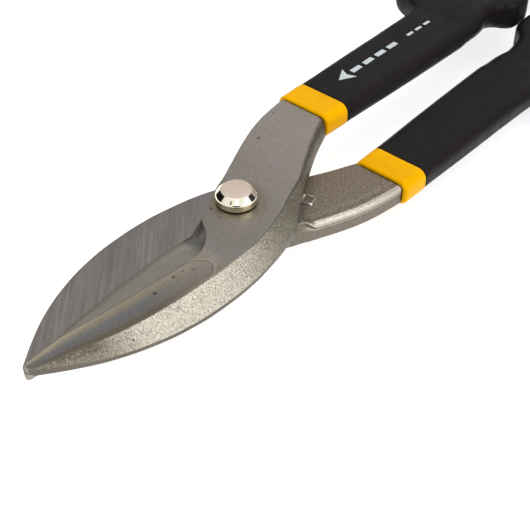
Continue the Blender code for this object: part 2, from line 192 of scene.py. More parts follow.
# ---- tang and grip of the upper half: (x, value) ----
tang_y = through([
    (TANG_START, 12.85), (94.0, 12.5), (108.0, 14.8), (125.0, 15.5), (145.0, 18.8),
    (TANG_END, 19.6)])
tang_half_width = through([(TANG_START, 6.8), (90.0, 6.8), (106.0, 5.3), (TANG_END, 4.5)])
tang_z = through([
    (TANG_START, 4.3), (104.0, 4.3), (125.0, 2.9), (142.0, 1.0), (154.0, 0.0), (TANG_END, 0.0)])
grip_inner = through([
    (BAND_START, 4.5), (106.0, 2.8), (109.2, 3.1), (112.4, 4.0), (117.2, 4.2), (119.8, 3.2),
    (121.6, 1.4), (123.0, 0.5), (124.6, 0.15), (128.5, 0.15), (131.5, 1.2), (136.7, 3.8),
    (143.0, 6.8), (150.0, 8.4), (166.0, 9.2), (180.0, 9.0), (END_X, 9.7)])
grip_outer = through([
    (BAND_START, 21.4), (95.0, 22.2), (100.2, 22.6), (102.0, 24.0), (103.3, 26.4), (104.4, 29.4),
    (105.8, 31.8), (108.0, 32.95), (111.5, 32.4), (116.0, 30.3), (126.0, 28.6), (146.0, 30.3),
    (166.0, 30.3), (178.0, 31.3), (END_X, 32.0)])
grip_bottom = through([
    (BAND_START, 0.75), (108.0, 0.75), (113.0, 0.5), (119.0, -1.0), (125.0, -2.2), (131.0, -2.8),
    (142.0, -4.8), (154.0, -6.4), (END_X, -6.4)])
grip_top = through([
    (BAND_START, 7.75), (100.5, 7.75), (106.0, 8.3), (111.0, 8.5), (118.0, 8.1), (128.0, 7.6),
    (145.0, 7.0), (154.0, 6.6), (END_X, 6.4)])
grip_corner = through([
    (BAND_START, 2.7), (98.0, 2.8), (103.0, 3.6), (108.0, 3.6), (118.0, 2.6), (128.0, 3.0),
    (142.0, 4.6), (154.0, 5.6), (END_X, 5.6)])

# ---- plain sign on the upper grip ----
SIGN_Y = 13.6
SIGN_ARROW = [(55.0, 0.0), (59.6, -2.5), (58.6, 0.0), (59.6, 2.5)]
# Rows of dashes: (count, first start, step, length, half width).
SIGN_DASHES = [(4, 60.6, 5.4, 3.8, 0.75), (3, 86.0, 4.0, 2.6, 0.45)]

# ---- raised mark on each arm's relieved face ----
MARK_CENTRE, MARK_TURN = Vector((19.4, 5.55)), math.radians(20)
MARK_HALF, MARK_CORNER = 1.45, 0.45
MARK_HEIGHT, MARK_HALF_WIDTH = 0.5, 0.36

# ---- small marks on the steel: (x, y, radius) over the upper half's top ----
PITS = [(-32.9, -6.35, 0.55), (-26.95, -6.2, 0.4), (-29.9, -5.95, 0.2), (-24.4, -6.5, 0.2),
        (-22.6, -8.1, 0.25), (-6.1, 2.3, 0.35), (-44.2, -11.5, 0.25), (22.0, 12.8, 0.45),
        (32.8, 17.4, 0.25)]


def spaced(start, end, step):
    """Evenly spaced values from start to end, no further apart than step."""
    count = max(1, math.ceil((end - start) / step))
    return [start + (end - start) * i / count for i in range(count + 1)]


def mix(a, b, t):
    return a + (b - a) * t


def ease(value, low, high):
    """0 below low, 1 above high, and a smooth rise between them."""
    t = min(max((value - low) / (high - low), 0.0), 1.0)
    return t * t * (3 - 2 * t)


# ---- section rings ----
ARC_STEPS = 5
LEAST_ROUND = 0.04
# Points along each side of a forging's section, from its cutting edge round to its inner face.
SIDE_POINTS = (7, 7, 44, 8, 8, 3, 26)
# The fuller lies across the third side, as shares of it, and runs out in a round end.
FULLER_SIDE = 2
FULLER_MIDDLE, FULLER_HALF = 0.475, 0.445
FULLER_END, FULLER_END_LENGTH = -23.2, 3.9
CORNER_LABEL = 0.1


def side_label(number, share):
    return number + CORNER_LABEL + (1 - 2 * CORNER_LABEL) * share


def filleted_ring(x, corners, dents):
    """Points round a section whose corners (y, z, radius, most) are rounded.

    A corner's round takes up at most that share of the sides beside it, 0.45 by default.
    Each point carries a label: its corner's number on a corner, and the share of the
    way to the next number along a side.  dents gives a side's offset at a share.
    """
    count = len(corners)
    arcs = []
    for i, (y, z, radius, *most) in enumerate(corners):
        here = Vector((y, z))
        to_before = Vector(corners[i - 1][:2]) - here
        to_after = Vector(corners[(i + 1) % count][:2]) - here
        half = max(to_before.angle(to_after, math.pi) / 2, 0.05)
        reach = (most[0] if most else 0.45) * min(to_before.length, to_after.length)
        back_off = min(max(radius / math.tan(half), LEAST_ROUND), reach)
        start = here + to_before.normalized() * back_off
        end = here + to_after.normalized() * back_off
        arcs.append((start, here, end))
    ring = []
    for i, (start, here, end) in enumerate(arcs):
        for k in range(ARC_STEPS + 1):
            t = k / ARC_STEPS
            point = start * (1 - t) ** 2 + here * 2 * t * (1 - t) + end * t * t
            ring.append((Vector((x, *point)), i + CORNER_LABEL * (2 * t - 1)))
        next_start = arcs[(i + 1) % count][0]
        for k in range(1, SIDE_POINTS[i] + 1):
            share = k / (SIDE_POINTS[i] + 1)
            point = end.lerp(next_start, share)
            if i in dents:
                point = point + Vector(dents[i](share))
            ring.append((Vector((x, *point)), side_label(i, share)))
    return ring


def fuller_dent(x):
    """The long hollow in the blade's top face, which ends in a round."""
    depth = fuller_depth(x)
    run_out = min(max((x - FULLER_END) / FULLER_END_LENGTH, 0.0), 2.0)

    def dent(share):
        across = (share - FULLER_MIDDLE) / FULLER_HALF
        reach = math.hypot(across, run_out)
        return 0.0, -depth * max(0.0, 1 - reach * reach) + fuller_lip(reach, run_out)

    return dent


def fuller_lip(reach, run_out):
    """A fine raised line round the hollow's rim."""
    return 0.03 * math.exp(-((reach - 1.0) / 0.035) ** 2) if run_out < 1.3 else 0.0


def forging_ring(x):
    front, back = cutting_edge(x), back_edge(x)
    bevel, bevel_top = bevel_edge(x), bevel_z(x)
    crest, crest_top = ridge(x), ridge_z(x)
    under = underside_z(x)
    rise, hollow = facet_rise(x), scoop_depth(x)
    on_arm = ease(x, 10.8, 12.5)
    softened = ease(x, 10.0, 34.0)
    share = 0.45 - 0.05 * on_arm
    most = 0.45 + 0.45 * on_arm
    wall = wall_z(x)
    corners = [
        (front, under, under_round(x), most),
        (mix(front, bevel, share) + rise, mix(under, bevel_top, share) + rise,
         mix(0.3, 0.02, on_arm)),
        (bevel, bevel_top, mix(edge_round(x), 0.4, on_arm), most),
        (crest, crest_top, edge_round(x) + 0.1, 0.45 + 0.45 * softened),
        (mix(crest, back, mix(0.5, 0.96, softened)),
         mix(mix(crest_top, wall, 0.47), mix(under, wall, 0.35), softened), 4.0 - 3.9 * softened),
        (back, mix(wall, mix(under, wall, 0.25), softened), 0.35 - 0.2 * softened),
        (back, under, under_round(x), 0.45),
    ]
    if hollow > 0.05:
        y, z, radius = corners[1]
        corners[1] = (y - hollow, z - 0.5 * hollow, radius + 3 * hollow)

    def flash_line(share):
        return -0.14 * on_arm * math.exp(-((share - 0.4) / 0.25) ** 2), 0.0

    def valley(share):
        return 0.0, 0.16 * on_arm * math.exp(-((share - 0.93) / 0.035) ** 2)

    return filleted_ring(x, corners, {0: flash_line, FULLER_SIDE: fuller_dent(x), 6: valley})


def tang_ring(x):
    y, z = tang_y(x), tang_z(x)
    width, height, corner = tang_half_width(x), TANG_HALF_HEIGHT, TANG_CORNER
    corners = [
        (y + width, z - height, corner), (y + width, z - 0.2, 0.1), (y + width, z + height, corner),
        (y - width, z + height, corner), (y - width, z + 0.4, 0.1), (y - width, z - 0.4, 0.1),
        (y - width, z - height, corner),
    ]
    return filleted_ring(x, corners, {})


def sleeve_ring(x, middle, half_width, half_height, corner, arc=10, side=(6, 24)):
    """Points round a rounded rectangle, each with the direction out of it."""
    corner = min(corner, 0.98 * half_width, 0.98 * half_height)
    wide, high = half_width - corner, half_height - corner
    spots = ((wide, -high), (wide, high), (-wide, high), (-wide, -high))
    centres = [Vector(spot) for spot in spots]
    ring = []

    def add(point, out):
        ring.append((Vector((x, middle[0] + point.x, middle[1] + point.y)), Vector((0, *out))))

    for turn, centre in enumerate(centres):
        for k in range(arc + 1):
            angle = math.radians(-90 + 90 * turn + 90 * k / arc)
            out = Vector((math.cos(angle), math.sin(angle)))
            add(centre + corner * out, out)
        start, end = centre + corner * out, centres[(turn + 1) % 4] + corner * out
        count = side[turn % 2]
        for k in range(1, count + 1):
            add(start.lerp(end, k / (count + 1)), out)
    return ring


def grip_ring(x, size=1.0, grow=0.0):
    """A grip's outer skin; size shrinks it to its middle, grow moves its face out."""
    middle = ((grip_inner(x) + grip_outer(x)) / 2, (grip_bottom(x) + grip_top(x)) / 2)
    half_width = (grip_outer(x) - grip_inner(x)) / 2 * size + grow
    half_height = (grip_top(x) - grip_bottom(x)) / 2 * size + grow
    return sleeve_ring(x, middle, half_width, half_height, grip_corner(x) * size + grow)


def bore(x):
    """Points round the hole of a grip or collar, which the tang runs through."""
    ring = sleeve_ring(x, (tang_y(x), tang_z(x)), tang_half_width(x) + FIT,
                       TANG_HALF_HEIGHT + FIT, TANG_CORNER + FIT)
    return [point for point, _ in ring]


def unevenness(point):
    """How far a moulded grip's face stands off its true shape, mostly inward, at a point."""
    broad = noise.noise(point / 9.0)
    fine = noise.noise(point / 2.5 + Vector((7.0, 3.0, 1.0)))
    return 0.05 * broad + 0.012 * fine - 0.05


def moulded(ring):
    return [point + out * unevenness(point) for point, out in ring]


# ---- mesh making ----
def to_row(point, side):
    """A design point in the row frame, in metres; the lower half is turned over."""
    turned = point if side == UPPER else Vector((point.x, -point.y, -point.z))
    return Vector((turned.x, turned.y, turned.z + SHEAR_Z)) * MM


def loft_faces(rings, count, closed=False):
    faces = []
    pairs = [(i, i + 1) for i in range(rings - 1)]
    if closed:
        pairs.append((rings - 1, 0))
    for one, two in pairs:
        for i in range(count):
            j = (i + 1) % count
            faces.append((one * count + i, one * count + j, two * count + j, two * count + i))
    return faces


def add_cap(points, faces, first, count, flip):
    """Closes a ring with a fan round its middle."""
    middle = sum((points[first + i] for i in range(count)), Vector()) / count
    points.append(middle)
    for i in range(count):
        one, two = first + i, first + (i + 1) % count
        faces.append((one, len(points) - 1, two) if flip else (one, two, len(points) - 1))


def finished_mesh(name, points, faces, sharp=35):
    mesh = bpy.data.meshes.new(name)
    mesh.from_pydata([tuple(point) for point in points], [], faces)
    mesh.validate()
    mesh.shade_smooth()
    mesh.set_sharp_from_angle(angle=math.radians(sharp))
    return mesh


def add_piece(name, mesh, material, body, replaced=()):
    thing = bpy.data.objects.new(name, mesh)
    bpy.context.scene.collection.objects.link(thing)
    mesh.materials.append(material)
    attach(thing, body)
    if replaced:
        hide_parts(*replaced)
    return thing


def apply_modifiers(thing):
    """Applies a piece's modifiers to its mesh."""
    graph = bpy.context.evaluated_depsgraph_get()
    mesh = bpy.data.meshes.new_from_object(thing.evaluated_get(graph))
    thing.modifiers.clear()
    thing.data = mesh


# ---- material helper ----
class Graph:
    """A node tree, with short calls that each add a node and return its output."""

    def __init__(self, tree):
        self.nodes, self.links = tree.nodes, tree.links

    def node(self, kind):
        return self.nodes.new("ShaderNode" + kind)

    def feed(self, socket, value):
        if isinstance(value, bpy.types.NodeSocket):
            self.links.new(value, socket)
        elif isinstance(value, (tuple, list)) and socket.type == "RGBA":
            socket.default_value = (*value, 1.0)
        else:
            socket.default_value = value

    def maths(self, operation, one, two=0.0):
        node = self.node("Math")
        node.operation = operation
        self.feed(node.inputs[0], one)
        self.feed(node.inputs[1], two)
        return node.outputs[0]

    def times(self, first, *others):
        for other in others:
            first = self.maths("MULTIPLY", first, other)
        return first

    def split(self, vector):
        """The X, Y and Z of a vector."""
        node = self.node("SeparateXYZ")
        self.links.new(vector, node.inputs[0])
        return node.outputs[:]

    def length(self, one, two):
        squares = self.maths("ADD", self.times(one, one), self.times(two, two))
        return self.maths("POWER", squares, 0.5)

    def span(self, value, low, high, to_low=0.0, to_high=1.0):
        """A smooth rise from to_low at low to to_high at high."""
        node = self.node("MapRange")
        node.interpolation_type = "SMOOTHSTEP"
        self.feed(node.inputs["Value"], value)
        for socket, number in (("From Min", low), ("From Max", high),
                               ("To Min", to_low), ("To Max", to_high)):
            self.feed(node.inputs[socket], number)
        return node.outputs[0]

    def inside(self, value, low, high, soft):
        """1 between low and high, with soft edges, and 0 outside them."""
        rise = self.span(value, low, low + soft)
        fall = self.span(value, high - soft, high, 1.0, 0.0)
        return self.times(rise, fall)

    def blend(self, share, one, two, how="MIX"):
        node = self.node("Mix")
        node.data_type = "RGBA"
        node.blend_type = how
        self.feed(node.inputs["Factor"], share)
        a = [s for s in node.inputs if s.identifier == "A_Color"][0]
        b = [s for s in node.inputs if s.identifier == "B_Color"][0]
        self.feed(a, one)
        self.feed(b, two)
        return [s for s in node.outputs if s.identifier == "Result_Color"][0]

    def ramp(self, value, stops):
        node = self.node("ValToRGB")
        self.feed(node.inputs["Fac"], value)
        elements = node.color_ramp.elements
        while len(elements) < len(stops):
            elements.new(0.5)
        for element, (place, colour) in zip(elements, stops):
            element.position = place
            element.color = (*colour, 1.0)
        return node.outputs["Color"]


class Finish(Graph):
    """A material with a Principled shader, which works in the piece's own coordinates."""

    def __init__(self, name, metallic, roughness):
        self.material = bpy.data.materials.new(name)
        self.material.use_nodes = True
        super().__init__(self.material.node_tree)
        self.shader = self.nodes["Principled BSDF"]
        self.shader.inputs["Metallic"].default_value = metallic
        self.shader.inputs["Roughness"].default_value = roughness
        self.place = self.node("TexCoord").outputs["Object"]

    def noise(self, scale, detail=3.0, roughness=0.5, vector=None, distortion=0.0):
        node = self.node("TexNoise")
        self.feed(node.inputs["Vector"], self.place if vector is None else vector)
        self.feed(node.inputs["Scale"], scale)
        self.feed(node.inputs["Detail"], detail)
        self.feed(node.inputs["Roughness"], roughness)
        self.feed(node.inputs["Distortion"], distortion)
        return node.outputs["Fac"]

    def cells(self, scale):
        node = self.node("TexVoronoi")
        self.feed(node.inputs["Vector"], self.place)
        self.feed(node.inputs["Scale"], scale)
        return node.outputs["Distance"]

    def stretched(self, angle, scale):
        """Coordinates turned so that X runs along the angle, then scaled."""
        turn = self.node("Mapping")
        turn.inputs["Rotation"].default_value = Euler((0, 0, -angle))
        self.feed(turn.inputs["Vector"], self.place)
        size = self.node("Mapping")
        size.inputs["Scale"].default_value = scale
        self.links.new(turn.outputs[0], size.inputs["Vector"])
        return size.outputs[0]

    def bump(self, height, distance, strength=1.0, normal=None):
        node = self.node("Bump")
        node.inputs["Distance"].default_value = distance
        self.feed(node.inputs["Strength"], strength)
        self.feed(node.inputs["Height"], height)
        if normal:
            self.links.new(normal, node.inputs["Normal"])
        return node.outputs["Normal"]

    def colour(self, value):
        self.feed(self.shader.inputs["Base Color"], value)

    def rough(self, value):
        self.feed(self.shader.inputs["Roughness"], value)

    def normal(self, value):
        self.links.new(value, self.shader.inputs["Normal"])


# ---- materials ----
class Steel(Finish):
    """Forged steel: ground bevels, a brushed inner face and blasted backs.

    Its regions follow the labels round a forging's section: 0 at the cutting edge, 2 at the
    bevel's upper edge, 3 at the ridge, 5 and 6 at the back, then the inner face.
    """

    def __init__(self, name, side):
        super().__init__(name, 1.0, 0.4)
        self.side = side
        sections = self.node("UVMap")
        sections.uv_map = "section"
        across, along, _ = self.split(sections.outputs[0])
        self.across, self.along = across, self.times(along, 100.0)

        self.grain = self.noise(2300.0, 3.0, 0.6)
        self.speckle = self.noise(5200.0, 2.0, 0.6)
        self.mottle = self.noise(1500.0, 4.0, 0.7)
        self.cloud = self.noise(110.0, 4.0, 0.6)
        lean = math.radians(-100 if side == UPPER else 100)
        lines = self.noise(1.0, 3.0, 0.55, self.stretched(lean, (1300.0, 3400.0, 2400.0)))
        self.hammered = self.maths("ADD", self.times(self.noise(3300.0, 3.0, 0.6), 0.5),
                                   self.times(lines, 0.5))
        self.freckles = self.ramp(self.mottle, [(0.3, (0.80, 0.80, 0.82)), (0.5, (1.0, 1.0, 1.0)),
                                                (0.7, (1.2, 1.2, 1.17))])

        self.inner = self.maths("MAXIMUM", self.span(across, -0.02, -0.05),
                                self.span(across, 6.02, 6.08))
        self.bevel = self.inside(across, -0.02, 2.0, 0.04)
        self.top = self.inside(across, 1.98, 3.02, 0.04)
        self.spine = self.inside(across, 2.98, 5.02, 0.05)
        self.wall = self.inside(across, 4.98, 6.06, 0.05)
        self.blade = self.span(self.along, -19.5, -16.0, 1.0, 0.0)
        self.arm = self.span(self.along, 10.0, 13.0)
        self.arm_side = self.times(self.bevel, self.span(self.along, -8.0, -5.0))
        self.bead = self.times(self.inside(across, -0.085, 0.105, 0.025), self.arm)
        self.smooth_wall = self.times(self.inside(across, 0.85, 1.9, 0.1), self.arm)

    def paint(self, share, tone):
        self.tone = self.blend(share, self.tone, tone)

    def tinted(self, share, tone, tint):
        return self.blend(share, tone, tint, "MULTIPLY")


def plate_tone(f):
    """The plate: cloudy, with painted light making it paler toward the grip, and a painted brown
    reflection of the bolt round it.
    """
    plate = f.ramp(f.cloud, [(0.3, (0.235, 0.215, 0.185)), (0.5, (0.25, 0.226, 0.20)),
                             (0.7, (0.252, 0.225, 0.212))])
    # Painted light: the plate is painted paler toward the grip.
    paler = f.span(f.along, -18.0, 36.0)
    plate = f.blend(paler, plate, f.tinted(1.0, plate, (1.5, 1.47, 1.47)))
    x, y, _ = f.split(f.place)
    # Painted reflection: a brown reflection of the bolt is painted on the plate round the pivot.
    painted_bolt_reflection = f.span(f.length(x, y), 0.009, 0.0052, 0.0, 0.55)
    plate = f.blend(painted_bolt_reflection, plate, (0.20, 0.165, 0.10))
    return f.tinted(0.8, plate, f.freckles)


def paint_bevel(f):
    """The arm's far side, the two facets of the bevel, and painted shade in the hollow at its end.
    """
    rough = f.ramp(f.hammered, [(0.38, (0.085, 0.073, 0.055)), (0.62, (0.29, 0.262, 0.212))])
    f.paint(f.arm_side, rough)
    facets = f.ramp(f.times(f.across, 0.5), [
        (0.46, (0.36, 0.33, 0.28)), (0.52, (0.315, 0.287, 0.24)),
        (0.93, (0.285, 0.262, 0.22)), (0.97, (0.34, 0.31, 0.26))])
    clouds = f.ramp(f.cloud, [(0.35, (0.8, 0.83, 0.85)), (0.65, (1.15, 1.12, 1.08))])
    facets = f.tinted(0.7, f.tinted(0.3, facets, clouds), f.freckles)
    f.paint(f.times(f.bevel, f.span(f.along, -7.0, -9.0)), facets)
    slanted = f.maths("ADD", f.along, f.times(f.across, 2.0))
    # Painted shade: the hollow at the bevel's end is painted dark.
    scoop_shade = f.times(f.bevel, f.inside(slanted, -15.0, 5.0, 2.5), 0.92)
    upward = f.span(f.across, 0.7, 1.5)
    f.paint(scoop_shade, f.blend(upward, (0.12, 0.109, 0.085), (0.050, 0.045, 0.034)))


def paint_top(f):
    """The blade's top face: ochre, blue-grey and brown heat tints toward the tip."""
    tints = f.ramp(f.maths("SUBTRACT", f.across, 2.0), [
        (0.10, (0.31, 0.275, 0.215)), (0.25, (0.31, 0.265, 0.19)), (0.36, (0.235, 0.22, 0.195)),
        (0.48, (0.19, 0.20, 0.212)), (0.64, (0.215, 0.205, 0.19)), (0.80, (0.195, 0.158, 0.118)),
        (0.97, (0.14, 0.118, 0.09))])
    blade_top = f.times(f.top, f.blade)
    f.paint(f.times(blade_top, 0.8), f.tinted(1.0, f.tone, (1.35, 1.30, 1.20)))
    toward_tip = f.span(f.along, -23.0, -38.0, 0.1, 0.9)
    f.paint(f.times(toward_tip, blade_top), f.tinted(0.6, tints, f.freckles))


def paint_rim_highlight_and_shade(f):
    """A painted highlight line beside a painted shade line, round the fuller's upper edge and its
    end, standing for the light and shade of its lip.
    """
    middle = side_label(FULLER_SIDE, FULLER_MIDDLE)
    half = side_label(0, FULLER_HALF) - side_label(0, 0)
    off_middle = f.times(f.maths("SUBTRACT", f.across, middle), 1 / half)
    past_end = f.times(f.maths("SUBTRACT", f.along, FULLER_END), 1 / FULLER_END_LENGTH)
    past_end = f.maths("MINIMUM", f.maths("MAXIMUM", past_end, 0.0), 2.0)
    reach = f.length(off_middle, past_end)
    shown = f.maths("MAXIMUM", f.span(off_middle, 0.6, 0.0), f.span(f.along, -25.0, -21.0))
    shown = f.times(shown, f.top, f.span(f.mottle, 0.25, 0.5, 0.5, 1.0), 0.55)
    # Painted highlight, then painted shade, along the fuller's lip.
    f.paint(f.times(shown, f.inside(reach, 1.04, 1.22, 0.06)), (0.42, 0.38, 0.31))
    f.paint(f.times(shown, f.inside(reach, 0.93, 1.06, 0.05)), (0.12, 0.105, 0.08))


def paint_spine(f):
    """The slanted back: a painted highlight in the middle, painted shade at its ends, scaled near
    the tip.
    """
    # Painted highlight and painted shade: the spine is painted bright in its middle and darker
    # toward both ends.
    bright = f.ramp(f.hammered, [(0.38, (0.27, 0.247, 0.205)), (0.5, (0.51, 0.473, 0.397)),
                                 (0.62, (0.72, 0.674, 0.569))])
    painted_shade_tone = f.ramp(f.hammered, [(0.38, (0.11, 0.098, 0.076)), (0.62, (0.33, 0.30, 0.245))])
    painted_shade_share = f.maths("MAXIMUM", f.span(f.along, -22.0, 4.0), f.span(f.along, -38.0, -54.0))
    scale = f.times(f.inside(f.along, -62.5, -46.0, 6.0),
                    f.span(f.noise(1700.0, 4.0), 0.36, 0.56, 0.2, 0.85), f.span(f.across, 4.6, 3.5))
    f.paint(f.spine, f.blend(scale, f.blend(painted_shade_share, bright, painted_shade_tone), (0.10, 0.09, 0.065)))
    crest = f.times(f.inside(f.across, 2.93, 3.12, 0.05), f.span(f.mottle, 0.35, 0.5), 0.6)
    f.paint(crest, (0.07, 0.06, 0.042))
    shoulder = f.times(f.inside(f.across, 2.96, 5.9, 0.12), f.span(f.along, 12.0, 30.0), 0.7)
    brown = f.ramp(f.hammered, [(0.38, (0.10, 0.087, 0.066)), (0.62, (0.21, 0.188, 0.15))])
    f.paint(shoulder, brown)
    f.paint(f.wall, f.ramp(f.cloud, [(0.3, (0.13, 0.115, 0.095)), (0.7, (0.17, 0.15, 0.125))]))


def paint_inner(f):
    """The inner face: brushed across the blade, and relieved along the arm."""
    lean = math.radians(-41.5 if f.side == UPPER else 41.5)
    streaks = f.noise(1.0, 4.0, 0.65, f.stretched(lean, (45.0, 900.0, 60.0)))
    f.scratches = f.noise(1.0, 3.0, 0.6, f.stretched(lean, (120.0, 4200.0, 60.0)))
    tone = f.ramp(streaks, [(0.32, (0.20, 0.178, 0.164)), (0.5, (0.238, 0.211, 0.194)),
                            (0.68, (0.285, 0.258, 0.234))])
    fine = f.ramp(f.scratches, [(0.3, (0.72, 0.72, 0.72)), (0.7, (1.28, 1.28, 1.28))])
    tone = f.tinted(0.45, tone, fine)
    if f.side == LOWER:
        sideways = f.split(f.stretched(lean, (1000.0, 1000.0, 1000.0)))[1]
        tone = f.blend(f.span(sideways, 9.6, 9.0), tone, (0.245, 0.232, 0.225))
    relieved = f.ramp(f.grain, [(0.34, (0.135, 0.112, 0.086)), (0.66, (0.375, 0.318, 0.26))])
    f.paint(f.inner, f.blend(f.arm, tone, relieved))


def paint_arm_edge(f):
    """The arm's bead with a painted highlight, the dark flash line and bright lip under it, and its
    wall.
    """
    # Painted highlight: the bead along the arm's edge is painted bright where its round catches the
    # light.
    wear_and_sheen = f.ramp(f.hammered, [(0.36, (0.30, 0.275, 0.23)), (0.62, (0.62, 0.58, 0.495))])
    f.paint(f.bead, wear_and_sheen)
    flash = f.times(f.inside(f.across, 0.09, 0.5, 0.06), f.arm, 0.8)
    f.paint(flash, (0.06, 0.05, 0.038))
    lip = f.times(f.inside(f.across, 0.45, 0.95, 0.1), f.arm, 0.7)
    f.paint(lip, (0.48, 0.45, 0.39))
    f.paint(f.times(f.smooth_wall, 0.6), (0.19, 0.165, 0.14))


def paint_pits(f):
    spots = 0.0
    flat = f.stretched(0.0, (1000.0, 1000.0, 0.0))
    raggedness = f.times(f.maths("SUBTRACT", f.speckle, 0.5), 0.8)
    for x, y, radius in PITS:
        gap = f.node("VectorMath")
        gap.operation = "DISTANCE"
        f.links.new(flat, gap.inputs[0])
        gap.inputs[1].default_value = (x, y, 0.0)
        ragged = f.maths("ADD", gap.outputs["Value"], raggedness)
        spots = f.maths("MAXIMUM", spots, f.span(ragged, radius, 0.35 * radius, 0.0, 0.85))
    f.paint(spots, (0.05, 0.035, 0.02))
    return spots


def texture(f, spots):
    """Roughness and bump: blasted backs, brushing on the inner face, and any pits."""
    blasted = f.maths("MAXIMUM", f.spine, f.arm_side)
    blasted = f.maths("MAXIMUM", blasted, f.times(f.inner, f.arm))
    blasted = f.maths("SUBTRACT", blasted, f.times(f.smooth_wall, 0.7))
    blasted = f.maths("SUBTRACT", blasted, f.times(f.bead, 0.6))
    blasted = f.maths("MAXIMUM", blasted, 0.0)
    rough = f.span(f.speckle, 0.3, 0.7, 0.33, 0.46)
    f.rough(f.maths("ADD", rough, f.times(blasted, 0.06)))
    normal = f.bump(f.speckle, 0.00003, 0.25)
    relief = f.maths("ADD", f.grain, f.hammered)
    normal = f.bump(relief, 0.00018, blasted, normal)
    brushed = f.times(f.inner, f.maths("SUBTRACT", 1.0, f.arm))
    normal = f.bump(f.scratches, 0.00003, brushed, normal)
    f.normal(f.bump(spots, -0.0002, 1.0, normal) if spots else normal)


def steel(name, side):
    """The forgings' steel, painted region by region from the plate outward."""
    f = Steel(name, side)
    f.tone = plate_tone(f)
    paint_bevel(f)
    paint_top(f)
    paint_rim_highlight_and_shade(f)
    paint_spine(f)
    paint_inner(f)
    paint_arm_edge(f)
    spots = paint_pits(f) if side == UPPER else None
    f.colour(f.tone)
    texture(f, spots)
    return f.material


def grained(name, metallic, scale, tones, rough, bump):
    """A finish that takes its colour, roughness and bump from one noise."""
    f = Finish(name, metallic, 0.4)
    grain = f.noise(*scale)
    f.colour(f.ramp(grain, tones))
    f.rough(f.span(grain, 0.3, 0.7, *rough))
    f.normal(f.bump(grain, *bump))
    return f.material


def worn_steel():
    """Rubbed high spots of a forging, paler than the rest."""
    return grained("worn_steel", 1.0, (3000.0, 3.0, 0.6),
                   [(0.3, (0.34, 0.31, 0.26)), (0.65, (0.74, 0.70, 0.62))], (0.32, 0.46),
                   (0.00006, 0.5))


def polished_bolt():
    """Bright nickel: a satin flat top over a mirror-like chamfer."""
    f = Finish("polished_bolt", 1.0, 0.1)
    flat_z = (SHEAR_Z + HEAD_TOP) * MM
    flat = f.span(f.split(f.place)[2], flat_z - 0.12 * MM, flat_z - 0.04 * MM)
    cloud = f.noise(700.0, 4.0, 0.6)
    top = f.ramp(cloud, [(0.3, (0.78, 0.64, 0.54)), (0.7, (0.84, 0.69, 0.59))])
    chrome = f.ramp(cloud, [(0.3, (0.86, 0.79, 0.63)), (0.7, (0.93, 0.87, 0.72))])
    f.colour(f.blend(flat, chrome, top))
    rings = f.noise(1.0, 2.0, 0.5, f.stretched(0.6, (300.0, 4000.0, 300.0)))
    f.rough(f.blend(flat, f.span(cloud, 0.3, 0.8, 0.05, 0.09), f.span(rings, 0.3, 0.7, 0.3, 0.42)))
    f.normal(f.bump(f.noise(260.0, 2.0), 0.00005, 0.2))
    return f.material


def zinc_plate():
    f = Finish("zinc_plate", 1.0, 0.35)
    crystals = f.cells(1400.0)
    cloud = f.noise(400.0, 4.0, 0.6)
    tone = f.ramp(cloud, [(0.3, (0.46, 0.45, 0.42)), (0.7, (0.62, 0.61, 0.58))])
    f.colour(f.blend(0.3, tone, f.ramp(crystals, [(0.0, (0.7, 0.7, 0.7)),
                                                  (1.0, (1.2, 1.2, 1.2))]), "MULTIPLY"))
    f.rough(f.span(cloud, 0.3, 0.7, 0.26, 0.42))
    f.normal(f.bump(f.noise(3000.0, 3.0), 0.00002, 0.5))
    return f.material


def nylon():
    f = Finish("nylon", 0.0, 0.5)
    cloud = f.noise(900.0, 4.0)
    f.colour(f.ramp(cloud, [(0.3, (0.68, 0.67, 0.62)), (0.7, (0.78, 0.77, 0.73))]))
    f.rough(f.span(cloud, 0.3, 0.7, 0.42, 0.55))
    f.normal(f.bump(f.noise(2500.0, 2.0), 0.00002, 0.5))
    return f.material


def yellow_vinyl():
    """Moulded yellow vinyl with a faint swirl and small specks."""
    f = Finish("yellow_vinyl", 0.0, 0.42)
    cloud = f.noise(130.0, 4.0, 0.55, distortion=0.4)
    tone = f.ramp(cloud, [(0.3, (0.74, 0.36, 0.0)), (0.5, (0.80, 0.395, 0.0)),
                          (0.7, (0.84, 0.42, 0.0))])
    f.shader.inputs["Specular IOR Level"].default_value = 0.12
    f.shader.inputs["Specular Tint"].default_value = (1.0, 0.7, 0.05, 1.0)
    specks = f.span(f.noise(2600.0, 2.0), 0.72, 0.8, 0.0, 0.5)
    f.colour(f.blend(specks, tone, (0.5, 0.22, 0.0)))
    f.rough(f.span(f.noise(900.0, 3.0), 0.3, 0.7, 0.36, 0.5))
    f.normal(f.bump(f.noise(2200.0, 3.0), 0.00003, 0.35))
    return f.material


def black_vinyl():
    """Dark moulded vinyl: fine pebble, soft rubbed areas and a few pale scuffs."""
    f = Finish("black_vinyl", 0.0, 0.45)
    cloud = f.noise(60.0, 4.0, 0.6, distortion=0.5)
    pebble = f.noise(3200.0, 3.0, 0.55)
    tone = f.ramp(cloud, [(0.3, (0.0078, 0.0058, 0.0060)), (0.7, (0.0105, 0.0084, 0.0074))])
    scuffs = f.noise(1.0, 3.0, 0.6, f.stretched(0.35, (160.0, 1500.0, 400.0)))
    f.colour(f.blend(f.span(scuffs, 0.68, 0.78, 0.0, 0.35), tone, (0.06, 0.057, 0.055)))
    f.rough(f.span(f.noise(240.0, 4.0, 0.6), 0.3, 0.7, 0.38, 0.54))
    f.shader.inputs["Specular IOR Level"].default_value = 0.12
    broad = f.bump(f.noise(170.0, 3.0), 0.0002, 0.25)
    f.normal(f.bump(pebble, 0.00004, 0.45, broad))
    return f.material


